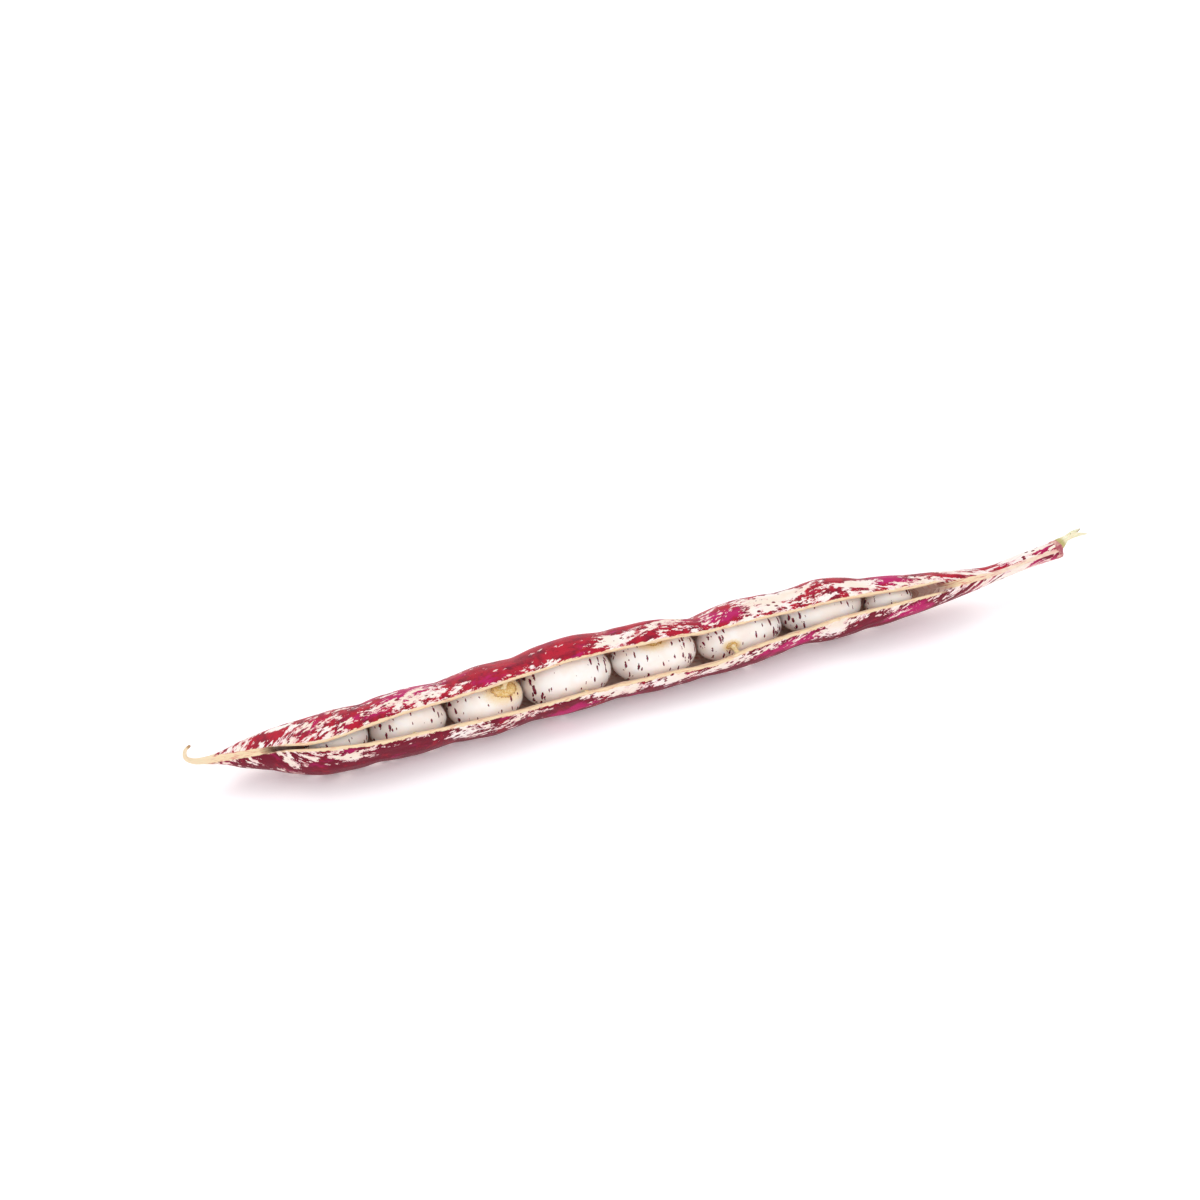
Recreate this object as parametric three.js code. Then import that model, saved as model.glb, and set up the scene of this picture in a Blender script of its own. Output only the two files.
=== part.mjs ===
// An opened borlotti bean pod lying on its side, with its seeds still inside.
// The pod runs along X, beak at -X and stem at +X, and its split faces -Y and up.
// Millimetres, Z up, resting on z = 0.
import * as THREE from "three";

// ---- driving dimensions -------------------------------------------------------

// The pod's middle line and outer section, one row per station:
// [along, x, y, z, half width across the valves, half depth from back to split, lean]
// "lean" is how far the split looks up from the horizontal, in degrees.
const STATIONS = [
  [0.0, -73.4, 0.1, 8.9, 0.22, 0.22, 37],
  [1.2, -74.2, 0.0, 8.3, 0.28, 0.28, 37],
  [2.6, -74.3, -0.1, 7.0, 0.36, 0.36, 37],
  [4.2, -73.2, -0.3, 6.1, 0.48, 0.5, 37],
  [6.2, -71.3, -0.5, 5.8, 0.62, 0.7, 37],
  [9.0, -68.6, -0.6, 5.6, 1.05, 1.35, 37],
  [13.0, -65.0, -0.8, 5.4, 2.2, 2.7, 37],
  [18.0, -60.0, -1.3, 5.3, 3.4, 4.0, 37],
  [24.0, -54.0, -2.7, 5.2, 4.7, 5.5, 36],
  [31.0, -47.0, -3.0, 5.25, 4.95, 6.4, 36],
  [40.0, -38.0, -2.7, 5.35, 5.25, 6.45, 35],
  [47.0, -31.0, -2.5, 5.35, 5.2, 6.5, 34],
  [54.0, -24.0, -2.3, 5.6, 5.6, 6.6, 32.5],
  [61.0, -17.0, -1.65, 5.6, 5.5, 6.6, 31],
  [68.0, -10.0, -1.2, 5.85, 5.98, 6.7, 29.5],
  [77.0, -1.0, -1.1, 5.7, 5.7, 6.7, 30],
  [85.0, 7.0, -1.3, 5.6, 5.6, 6.6, 31],
  [92.0, 14.0, -1.6, 5.35, 5.05, 6.45, 31],
  [98.0, 20.0, -0.7, 5.35, 5.38, 6.4, 31],
  [104.0, 26.0, -0.1, 5.25, 5.2, 6.3, 30],
  [110.0, 32.0, 0.4, 5.2, 4.75, 6.1, 29],
  [116.0, 38.0, 0.1, 5.4, 5.1, 5.8, 32],
  [122.0, 44.0, -0.8, 5.45, 4.3, 5.4, 36],
  [128.0, 50.0, -1.4, 5.55, 3.65, 4.75, 38],
  [134.0, 56.0, -1.75, 5.65, 2.95, 3.9, 39],
  [140.0, 62.0, -1.85, 5.7, 2.15, 2.95, 39],
  [145.0, 67.0, -1.7, 5.7, 1.5, 2.0, 38],
  [151.0, 73.0, -0.6, 5.8, 1.42, 1.8, 36],
  [158.2, 80.2, 0.3, 5.95, 1.5, 1.85, 34],
];

// How wide the split stands open: [along, width between the rims]
const SPLIT = [
  [20, 0.2], [25, 0.8], [30, 2.0], [36, 3.0], [44, 3.7], [53, 4.3], [58, 4.9], [68, 5.3],
  [78, 5.3], [88, 5.1], [92, 4.95], [98, 4.0], [105, 3.4], [111, 3.0], [117, 2.5],
  [125, 2.0], [133, 1.3], [140, 0.4],
];

// How fully the seed cavity is hollowed out: [along, 0 for solid to 1 for a full cavity]
const HOLLOW = [[15, 0], [19, 0.55], [22.5, 1], [131, 1], [134.5, 0.55], [139, 0]];

const NECK_END = STATIONS[STATIONS.length - 1][0];
const WALL = 1.0;             // thickness of the pod's flesh
const LIP = 0.85;             // width of each split rim seen from outside
const LIP_ROUND = 0.42;       // how far the rim bulges
const BACK_RIDGE = 0.25;      // height of the seam along the back
const BACK_RIDGE_WIDTH = 0.9;
const BEAK_TIP = 0.16;        // how far the beak's round tip stands past its last section
const GAP = 0.3;              // clearance between touching pieces
const SOLE = 0.38;            // how far the underside is pressed flat where the pod lies
const SOLE_REACH = 1.6;       // height up to which that pressing is felt

// Seeds: [along at the middle, half length, half thickness, half depth, rise, roll in degrees]
const BEANS = [
  [27.9, 5.25, 3.25, 3.65, 0.2, 12],
  [40.0, 6.5, 3.8, 4.1, 0.35, -14],
  [53.4, 6.5, 4.05, 4.3, 0.35, 20],
  [68.1, 7.8, 4.45, 4.55, 0.25, -10],
  [83.6, 7.3, 4.15, 4.4, 0.3, 16],
  [99.1, 7.8, 3.85, 4.25, 0.3, -18],
  [114.5, 7.2, 3.45, 3.75, 0.45, 10],
  [126.3, 4.2, 2.3, 2.75, 0.35, -8],
];
const BEAN_FULLNESS = 2.4;    // 2 is an ellipsoid, more is blunter at the ends
const BEAN_BEND = 0.3;        // how far the ends lift toward the split
const BEAN_DENT = 0.3;        // depth of the dimple at the seed scar
const BEAN_DENT_REACH = 0.3;  // its reach along the seed, as a share of the half length

// Calyx collar on the cut end of the neck
const CALYX_THICK = 0.75;
const CALYX_RADIUS = 1.72;
const CALYX_LOBES = 5;
const CALYX_LOBE_DEPTH = 0.12;
const CALYX_SQUASH = 0.9;     // narrower across the valves than up and down, as the neck is

// Stub of the stem: middle line, then its size
const STEM_PATH = [
  [0, 81.75, 0.95, 6.6],
  [1.6, 83.2, 1.35, 7.1],
  [3.4, 84.9, 1.75, 7.3],
  [5.6, 87.0, 2.1, 7.15],
];
const STEM_HALVES = [           // [along, half width, half thickness]
  [0, 1.0, 0.85],
  [1.6, 0.62, 0.5],
  [3.6, 0.85, 0.42],
  [5.6, 0.95, 0.22],
];
const STEM_FORK = 1.9;        // depth of the notch that splits its tip

// Moves the pod so that the middle of its box stands over the origin
const TO_MIDDLE = [-6.22, 1.41, 0];

// ---- mesh fineness --------------------------------------------------------------

const POD_STEPS = 62;
const OUTER_STEPS = 18;
const INNER_STEPS = 12;
const LIP_STEPS = 4;
const BEAN_STEPS = 11;
const BEAN_SIDES = 14;
const CALYX_SIDES = 20;
const STEM_STEPS = 9;
const STEM_SIDES = 16;

// ---- curves through the tables ---------------------------------------------------

// A smooth curve through the rows of a table, each row starting with its place along.
function follow(table, along) {
  const last = table.length - 1;
  const place = Math.min(Math.max(along, table[0][0]), table[last][0]);
  let row = 0;
  while (row < last - 1 && place > table[row + 1][0]) {
    row += 1;
  }
  const step = table[row + 1][0] - table[row][0];
  const t = (place - table[row][0]) / step;
  const value = [];
  for (let k = 1; k < table[0].length; k += 1) {
    const from = table[row][k];
    const to = table[row + 1][k];
    const leave = slopeAt(table, row, k) * step;
    const arrive = slopeAt(table, row + 1, k) * step;
    value.push(
      from * (2 * t ** 3 - 3 * t ** 2 + 1) + leave * (t ** 3 - 2 * t ** 2 + t)
      + to * (3 * t ** 2 - 2 * t ** 3) + arrive * (t ** 3 - t ** 2),
    );
  }
  return value;
}

// The slope at a row: the parabola through the row and its two neighbours.
function slopeAt(table, row, k) {
  const last = table.length - 1;
  const chord = (i) => (table[i + 1][k] - table[i][k]) / (table[i + 1][0] - table[i][0]);
  if (row === 0) {
    return chord(0);
  }
  if (row === last) {
    return chord(last - 1);
  }
  const before = table[row][0] - table[row - 1][0];
  const after = table[row + 1][0] - table[row][0];
  return (chord(row - 1) * after + chord(row) * before) / (before + after);
}

// The pod's own axes at a place along it: "across" runs from the near valve to the far
// one, "open" looks out of the split, "forward" follows the pod toward the stem.
function frameAt(along) {
  const [x, y, z, halfWidth, halfHeight, lean] = follow(STATIONS, along);
  const before = follow(STATIONS, along - 0.05);
  const after = follow(STATIONS, along + 0.05);
  const forward = new THREE.Vector3(
    after[0] - before[0],
    after[1] - before[1],
    after[2] - before[2],
  ).normalize();
  const near = new THREE.Vector3(0, -1, 0).addScaledVector(forward, forward.y).normalize();
  const top = near.clone().cross(forward);
  const angle = THREE.MathUtils.degToRad(lean);
  const open = near.clone().multiplyScalar(Math.cos(angle)).addScaledVector(top, Math.sin(angle));
  const across = near.clone().multiplyScalar(-Math.sin(angle)).addScaledVector(top, Math.cos(angle));
  const middle = new THREE.Vector3(x, y, z);
  return { middle, forward, across, open, halfWidth, halfHeight };
}

function place(frame, p, q, s = 0) {
  return frame.middle.clone()
    .addScaledVector(frame.across, p)
    .addScaledVector(frame.open, q)
    .addScaledVector(frame.forward, s);
}

// ---- closed skins ----------------------------------------------------------------

// Joins equal rings of points into one closed solid with a point fan over each end.
function solidFromRings(rings, firstTip, lastTip) {
  const count = rings[0].length;
  const points = [...rings.flat(), firstTip, lastTip];
  const faces = [];
  for (let i = 0; i < rings.length - 1; i += 1) {
    for (let j = 0; j < count; j += 1) {
      const a = i * count + j;
      const b = i * count + (j + 1) % count;
      faces.push(a, b, b + count);
      faces.push(a, b + count, a + count);
    }
  }
  const start = points.length - 2;
  const end = points.length - 1;
  const lastRing = (rings.length - 1) * count;
  for (let j = 0; j < count; j += 1) {
    const next = (j + 1) % count;
    faces.push(start, next, j);
    faces.push(end, lastRing + j, lastRing + next);
  }
  if (signedVolume(points, faces) < 0) {
    for (let i = 0; i < faces.length; i += 3) {
      [faces[i + 1], faces[i + 2]] = [faces[i + 2], faces[i + 1]];
    }
  }
  const geometry = new THREE.BufferGeometry();
  geometry.setAttribute(
    "position",
    new THREE.Float32BufferAttribute(points.flatMap((v) => [v.x, v.y, v.z]), 3),
  );
  geometry.setIndex(faces);
  geometry.computeVertexNormals();
  return geometry;
}

function signedVolume(points, faces) {
  let sum = 0;
  for (let i = 0; i < faces.length; i += 3) {
    const cross = points[faces[i + 1]].clone().cross(points[faces[i + 2]]);
    sum += points[faces[i]].dot(cross) / 6;
  }
  return sum;
}

function centreOf(ring) {
  const sum = new THREE.Vector3();
  ring.forEach((v) => sum.add(v));
  return sum.divideScalar(ring.length);
}

// ---- the pod ---------------------------------------------------------------------

// One section of the pod as a closed loop: round the outside from rim to rim by way of
// the back, over one lip, back along the cavity wall, over the other lip. Where the pod
// is solid the cavity wall lies on the outer skin instead.
function podLoop(along) {
  const frame = frameAt(along);
  const { halfWidth, halfHeight } = frame;
  const halfSplit = Math.max(follow(SPLIT, along)[0], 0) / 2;
  const hollow = THREE.MathUtils.clamp(follow(HOLLOW, along)[0], 0, 1);
  const rim = Math.min(halfSplit + LIP, 0.72 * halfWidth);
  const rimAngle = Math.acos(rim / halfWidth);

  const skin = (angle) => {
    const p = halfWidth * Math.cos(angle);
    const ridge = Math.sin(angle) < 0 ? BACK_RIDGE * Math.exp(-((p / BACK_RIDGE_WIDTH) ** 2)) : 0;
    const share = Math.min(halfHeight / 5, 1);
    return [p, halfHeight * Math.sin(angle) - ridge * share];
  };
  const innerWidth = Math.max(halfWidth - WALL, 0.3 * halfWidth);
  const innerHeight = Math.max(halfHeight - WALL, 0.3 * halfHeight);
  const innerSplit = Math.min(halfSplit, 0.6 * innerWidth);
  const innerAngle = Math.acos(innerSplit / innerWidth);

  const loop = [];
  for (let i = 0; i < OUTER_STEPS; i += 1) {
    const angle = Math.PI - rimAngle + (Math.PI + 2 * rimAngle) * (i / OUTER_STEPS);
    loop.push(skin(angle));
  }
  // Over the far lip, round the cavity, and over the near lip; "across" goes +1 to -1.
  const inside = [];
  const sweep = Math.PI + 2 * innerAngle;
  const cornerOut = [rim, halfHeight * Math.sin(rimAngle)];
  const cornerIn = [innerSplit, innerHeight * Math.sin(innerAngle)];
  for (let i = 0; i < LIP_STEPS; i += 1) {
    inside.push(lipPoint(cornerOut, cornerIn, i / LIP_STEPS));
  }
  for (let i = 0; i <= INNER_STEPS; i += 1) {
    const angle = 2 * Math.PI + innerAngle - sweep * (i / INNER_STEPS);
    inside.push([innerWidth * Math.cos(angle), innerHeight * Math.sin(angle)]);
  }
  for (let i = 1; i < LIP_STEPS; i += 1) {
    const [p, q] = lipPoint(cornerOut, cornerIn, 1 - i / LIP_STEPS);
    inside.push([-p, q]);
  }
  const steps = inside.length;
  inside.forEach(([p, q], i) => {
    const angle = rimAngle + (Math.PI - 2 * rimAngle) * (i / steps);
    const [skinP, skinQ] = skin(angle);
    loop.push([skinP + (p - skinP) * hollow, skinQ + (q - skinQ) * hollow]);
  });
  return loop.map(([p, q], i) => {
    const point = place(frame, p, q);
    if (i < OUTER_STEPS) {
      point.z = pressed(point.z);
    }
    return point;
  });
}

// The height of an outer point once the pod's own weight has flattened its underside.
function pressed(height) {
  const share = THREE.MathUtils.clamp(1 - height / SOLE_REACH, 0, 1);
  return Math.max(height - SOLE * share ** 2, 0);
}

// A point on the rounded lip between its outer and inner corner, t from 0 to 1.
function lipPoint(outer, inner, t) {
  const dp = inner[0] - outer[0];
  const dq = inner[1] - outer[1];
  const length = Math.hypot(dp, dq);
  const bulge = LIP_ROUND * Math.sin(Math.PI * t);
  return [outer[0] + dp * t + (dq / length) * bulge, outer[1] + dq * t - (dp / length) * bulge];
}

// Stations crowd together at the hooked beak and along the cavity's two ends.
function podStations() {
  const marks = [
    [0, 0], [6, 7.2], [12, 17], [20, 27], [26, 42], [44, 112], [50, 127], [57, 142],
    [POD_STEPS, NECK_END],
  ];
  const stations = [];
  for (let i = 0; i <= POD_STEPS; i += 1) {
    stations.push(follow(marks, i)[0]);
  }
  return stations;
}

function podGeometry() {
  const stations = podStations();
  const rings = stations.map((along) => podLoop(along));
  const tip = place(frameAt(0), 0, 0, -BEAK_TIP);
  return solidFromRings(rings, tip, centreOf(rings[rings.length - 1]));
}

// ---- the seeds -------------------------------------------------------------------

// One seed about its own middle: X along it, Y across it, Z toward its scar.
function beanGeometry(halfLength, halfThick, halfDeep) {
  const rings = [];
  for (let i = 1; i < BEAN_STEPS; i += 1) {
    const t = -Math.cos(Math.PI * (i / BEAN_STEPS));
    const swell = Math.sqrt(1 - Math.abs(t) ** BEAN_FULLNESS);
    const ring = [];
    for (let j = 0; j < BEAN_SIDES; j += 1) {
      const angle = (2 * Math.PI * j) / BEAN_SIDES;
      const upward = Math.max(Math.sin(angle), 0);
      const dent = BEAN_DENT * upward ** 4 * Math.exp(-((t / BEAN_DENT_REACH) ** 2));
      const y = halfThick * swell * Math.cos(angle);
      const z = halfDeep * swell * Math.sin(angle) + BEAN_BEND * t * t - dent;
      ring.push(new THREE.Vector3(t * halfLength, y, z));
    }
    rings.push(ring);
  }
  const first = new THREE.Vector3(-halfLength, 0, BEAN_BEND);
  const last = new THREE.Vector3(halfLength, 0, BEAN_BEND);
  return solidFromRings(rings, first, last);
}

// Sets a mesh made about its own middle into the pod at a place along it.
function seat(mesh, along, rise, roll) {
  const frame = frameAt(along);
  const axes = new THREE.Matrix4().makeBasis(frame.forward, frame.across, frame.open);
  mesh.quaternion.setFromRotationMatrix(axes);
  mesh.rotateX(THREE.MathUtils.degToRad(roll));
  mesh.position.copy(place(frame, 0, rise));
}

// ---- calyx and stem --------------------------------------------------------------

// A lobed collar about its own axis, X pointing away from the pod.
function calyxGeometry() {
  const bevel = 0.15;
  const profile = [[0, 0.82], [bevel, 1], [CALYX_THICK - bevel, 0.97], [CALYX_THICK, 0.75]];
  const rings = profile.map(([x, share]) => {
    const ring = [];
    for (let j = 0; j < CALYX_SIDES; j += 1) {
      const angle = (2 * Math.PI * j) / CALYX_SIDES;
      const radius = share * (CALYX_RADIUS + CALYX_LOBE_DEPTH * Math.cos(CALYX_LOBES * angle));
      const y = CALYX_SQUASH * radius * Math.cos(angle);
      ring.push(new THREE.Vector3(x, y, radius * Math.sin(angle) / CALYX_SQUASH));
    }
    return ring;
  });
  const inner = new THREE.Vector3(0, 0, 0);
  const outer = new THREE.Vector3(CALYX_THICK - bevel, 0, 0);
  return solidFromRings(rings, inner, outer);
}

// A flat strip that curls upward and splits in two at the tip: the sections near the end
// fall back in the middle.
function stemGeometry() {
  const length = STEM_PATH[STEM_PATH.length - 1][0];
  const rings = [];
  for (let i = 0; i <= STEM_STEPS; i += 1) {
    const along = length * (i / STEM_STEPS);
    const [halfWidth, halfThick] = follow(STEM_HALVES, along);
    const share = (along / length) ** 3;
    const ring = [];
    for (let j = 0; j < STEM_SIDES; j += 1) {
      const angle = (2 * Math.PI * j) / STEM_SIDES;
      const back = STEM_FORK * share * (1 - Math.abs(Math.cos(angle)));
      const [x, y, z] = follow(STEM_PATH, along - back);
      const forward = stemDirection(along - back);
      const side = new THREE.Vector3(0, 0, 1).cross(forward).normalize();
      const top = forward.clone().cross(side);
      ring.push(
        new THREE.Vector3(x, y, z)
          .addScaledVector(side, halfWidth * Math.cos(angle))
          .addScaledVector(top, halfThick * Math.sin(angle)),
      );
    }
    rings.push(ring);
  }
  const notch = new THREE.Vector3(...follow(STEM_PATH, length - STEM_FORK));
  return solidFromRings(rings, centreOf(rings[0]), notch);
}

function stemDirection(along) {
  const before = follow(STEM_PATH, along - 0.2);
  const after = follow(STEM_PATH, along + 0.2);
  return new THREE.Vector3(...after).sub(new THREE.Vector3(...before)).normalize();
}

// ---- assembly --------------------------------------------------------------------

function named(name, geometry, material) {
  const mesh = new THREE.Mesh(geometry, material);
  mesh.name = name;
  return mesh;
}

const podSkin = new THREE.MeshStandardMaterial({ color: 0xc46f80, roughness: 0.5 });
const seedCoat = new THREE.MeshStandardMaterial({ color: 0xf0e4d8, roughness: 0.3 });
const dryStem = new THREE.MeshStandardMaterial({ color: 0xd8d3a4, roughness: 0.7 });

const openPod = new THREE.Group();
openPod.position.set(...TO_MIDDLE);
openPod.add(named("pod", podGeometry(), podSkin));
BEANS.forEach(([along, halfLength, halfThick, halfDeep, rise, roll], i) => {
  const bean = named(`bean_${i + 1}`, beanGeometry(halfLength, halfThick, halfDeep), seedCoat);
  seat(bean, along, rise, roll);
  openPod.add(bean);
});

const calyx = named("calyx", calyxGeometry(), dryStem);
seat(calyx, NECK_END, 0, 0);
calyx.translateX(GAP);
openPod.add(calyx);
openPod.add(named("stem", stemGeometry(), dryStem));

const group = new THREE.Group();
group.add(openPod);

export default group;
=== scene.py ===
# %% [markdown]
# # An opened borlotti bean pod
# A borlotti pod is a leathery, two-valved pod flamed with crimson on cream. This one lies on its
# side, split along the seam that carries the seeds, so a row of speckled seeds shows between two
# pale rims. The solids that carry size and weight are already made; they are loaded here as a
# fixed frame, and everything that is looked at is grown over them as finer surfaces.

# %% Load the frame
import math

import bpy
import numpy as np
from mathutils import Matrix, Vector


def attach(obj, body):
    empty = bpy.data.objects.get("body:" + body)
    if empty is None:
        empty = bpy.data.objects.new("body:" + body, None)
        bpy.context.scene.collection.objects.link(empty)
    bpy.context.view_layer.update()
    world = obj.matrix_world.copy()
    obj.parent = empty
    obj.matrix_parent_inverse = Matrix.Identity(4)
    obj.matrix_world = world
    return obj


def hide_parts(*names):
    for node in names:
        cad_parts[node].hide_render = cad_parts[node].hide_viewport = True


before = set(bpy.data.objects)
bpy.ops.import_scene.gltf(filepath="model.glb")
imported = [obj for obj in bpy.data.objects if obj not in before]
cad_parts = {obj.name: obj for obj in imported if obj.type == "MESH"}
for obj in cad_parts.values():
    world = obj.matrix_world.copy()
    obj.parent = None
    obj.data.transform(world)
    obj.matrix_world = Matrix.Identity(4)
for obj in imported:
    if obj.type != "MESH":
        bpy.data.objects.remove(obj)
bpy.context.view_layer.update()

MM = 0.001
print("nodes:", sorted(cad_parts))

# %% [markdown]
# ## Camera
# A pod is long and low. It is looked at from above its beak's side, far enough away that both
# ends keep the same scale, with a long lens. Aiming a little behind the pod sets it slightly
# below the middle of the picture.

# %% Camera
CAMERA_AZIMUTH = math.radians(-22.5)
CAMERA_HEIGHT = math.radians(35)
CAMERA_DISTANCE = 0.7
AIM = Vector((-0.0069, 0.0075, 0.0137))


def aim_camera():
    """A camera that looks at AIM from a distance, turned by an azimuth and lifted by a height."""
    camera = bpy.data.objects.new("camera", bpy.data.cameras.new("camera"))
    camera.data.lens = 128.1
    camera.data.clip_start = 0.05
    camera.data.clip_end = 50
    back = Vector((
        math.sin(CAMERA_AZIMUTH) * math.cos(CAMERA_HEIGHT),
        -math.cos(CAMERA_AZIMUTH) * math.cos(CAMERA_HEIGHT),
        math.sin(CAMERA_HEIGHT),
    ))
    camera.location = AIM + back * CAMERA_DISTANCE
    camera.rotation_mode = "QUATERNION"
    camera.rotation_quaternion = (-back).to_track_quat("-Z", "Y")
    bpy.context.scene.collection.objects.link(camera)
    bpy.context.scene.camera = camera
    return camera


print("camera at", [round(c, 3) for c in aim_camera().location])

# %% [markdown]
# ## The pod's driving dimensions
# The pod is a section carried along a bent middle line. Each row below is one station, chosen
# where the real pod swells over a seed or narrows between two. The same rows drive the solid
# model, so the fine surface lands on it without any fitting.

# %% Stations, in millimetres and degrees
# along, x, y, z, half width across the valves, half depth from back to split, lean of the split
STATIONS = np.array([
    [0.0, -73.4, 0.1, 8.9, 0.22, 0.22, 37],
    [1.2, -74.2, 0.0, 8.3, 0.28, 0.28, 37],
    [2.6, -74.3, -0.1, 7.0, 0.36, 0.36, 37],
    [4.2, -73.2, -0.3, 6.1, 0.48, 0.5, 37],
    [6.2, -71.3, -0.5, 5.8, 0.62, 0.7, 37],
    [9.0, -68.6, -0.6, 5.6, 1.05, 1.35, 37],
    [13.0, -65.0, -0.8, 5.4, 2.2, 2.7, 37],
    [18.0, -60.0, -1.3, 5.3, 3.4, 4.0, 37],
    [24.0, -54.0, -2.7, 5.2, 4.7, 5.5, 36],
    [31.0, -47.0, -3.0, 5.25, 4.95, 6.4, 36],
    [40.0, -38.0, -2.7, 5.35, 5.25, 6.45, 35],
    [47.0, -31.0, -2.5, 5.35, 5.2, 6.5, 34],
    [54.0, -24.0, -2.3, 5.6, 5.6, 6.6, 32.5],
    [61.0, -17.0, -1.65, 5.6, 5.5, 6.6, 31],
    [68.0, -10.0, -1.2, 5.85, 5.98, 6.7, 29.5],
    [77.0, -1.0, -1.1, 5.7, 5.7, 6.7, 30],
    [85.0, 7.0, -1.3, 5.6, 5.6, 6.6, 31],
    [92.0, 14.0, -1.6, 5.35, 5.05, 6.45, 31],
    [98.0, 20.0, -0.7, 5.35, 5.38, 6.4, 31],
    [104.0, 26.0, -0.1, 5.25, 5.2, 6.3, 30],
    [110.0, 32.0, 0.4, 5.2, 4.75, 6.1, 29],
    [116.0, 38.0, 0.1, 5.4, 5.1, 5.8, 32],
    [122.0, 44.0, -0.8, 5.45, 4.3, 5.4, 36],
    [128.0, 50.0, -1.4, 5.55, 3.65, 4.75, 38],
    [134.0, 56.0, -1.75, 5.65, 2.95, 3.9, 39],
    [140.0, 62.0, -1.85, 5.7, 2.15, 2.95, 39],
    [145.0, 67.0, -1.7, 5.7, 1.5, 2.0, 38],
    [151.0, 73.0, -0.6, 5.8, 1.42, 1.8, 36],
    [158.2, 80.2, 0.3, 5.95, 1.5, 1.85, 34],
])
# along, width between the rims
SPLIT = np.array([
    [20, 0.2], [25, 0.8], [30, 2.0], [36, 3.0], [44, 3.7], [53, 4.3], [58, 4.9], [68, 5.3],
    [78, 5.3], [88, 5.1], [92, 4.95], [98, 4.0], [105, 3.4], [111, 3.0], [117, 2.5],
    [125, 2.0], [133, 1.3], [140, 0.4],
])
# along, share of the full seed cavity
HOLLOW = np.array([[15, 0], [19, 0.55], [22.5, 1], [131, 1], [134.5, 0.55], [139, 0]])

TO_MIDDLE = np.array([-6.22, 1.41, 0])
NECK_END = STATIONS[-1, 0]
WALL = 1.0
LIP = 0.85
LIP_ROUND = 0.42
BACK_RIDGE = 0.25
BACK_RIDGE_WIDTH = 0.9
BEAK_TIP = 0.16
SOLE = 0.38
SOLE_REACH = 1.6

print("pod length along its middle line:", NECK_END, "mm")

# %% [markdown]
# ## A smooth curve through the stations
# Straight lines between stations would show as facets, so a cubic is run through them: each
# stretch leaves and arrives with the slope of the parabola through its neighbours.

# %% Follow a table smoothly


def follow(table, along):
    """Values of a table at many places: between two rows, the cubic that leaves and arrives with
    the slopes of the parabolas through each row and its neighbours."""
    place, value = table[:, 0], table[:, 1:]
    step = np.diff(place)[:, None]
    chord = np.diff(value, axis=0) / step
    slope = np.vstack([
        chord[:1],
        (chord[:-1] * step[1:] + chord[1:] * step[:-1]) / (step[1:] + step[:-1]),
        chord[-1:],
    ])
    along = np.clip(along, place[0], place[-1])
    row = np.clip(np.searchsorted(place, along, side="left") - 1, 0, len(place) - 2)
    size = step[row]
    t = ((along - place[row]) / size[:, 0])[:, None]
    return (
        value[row] * (2 * t**3 - 3 * t**2 + 1)
        + slope[row] * size * (t**3 - 2 * t**2 + t)
        + value[row + 1] * (3 * t**2 - 2 * t**3)
        + slope[row + 1] * size * (t**3 - t**2)
    )


def unit(vectors):
    """Vectors divided by their lengths."""
    return vectors / np.linalg.norm(vectors, axis=-1, keepdims=True)


def pod_axes(along):
    """The pod's middle and own axes: forward follows the middle line, open looks out of the
    split, and across runs from the near valve to the far one, square to both."""
    rows = follow(STATIONS, along)
    forward = unit(follow(STATIONS, along + 0.05)[:, :3] - follow(STATIONS, along - 0.05)[:, :3])
    near = unit(np.array([0, -1, 0]) + forward * forward[:, 1:2])
    top = np.cross(near, forward)
    lean = np.radians(rows[:, 5:6])
    return {
        "middle": rows[:, :3] + TO_MIDDLE,
        "forward": forward,
        "open": near * np.cos(lean) + top * np.sin(lean),
        "across": top * np.cos(lean) - near * np.sin(lean),
        "half_width": rows[:, 3:4],
        "half_depth": rows[:, 4:5],
    }


def place(axes, p, q, s=0.0):
    """Points p across, q toward the split and s forward of the pod's middle."""
    def spread(name):
        return axes[name][:, None, :]

    s = np.broadcast_to(s, p.shape)
    return (
        spread("middle")
        + p[..., None] * spread("across")
        + q[..., None] * spread("open")
        + s[..., None] * spread("forward")
    )


print("middle of the pod halfway:", np.round(pod_axes(np.array([79.0]))["middle"][0], 2))

# %% [markdown]
# ## Closed meshes from grids
# Every piece here is a skin: rings of points joined side by side, with a small fan over each
# end. One helper turns such a grid into a mesh, and turns its faces outward if its volume
# comes out negative. Per-point values ride along as attributes, which the materials read.

# %% Mesh from rings


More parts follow.
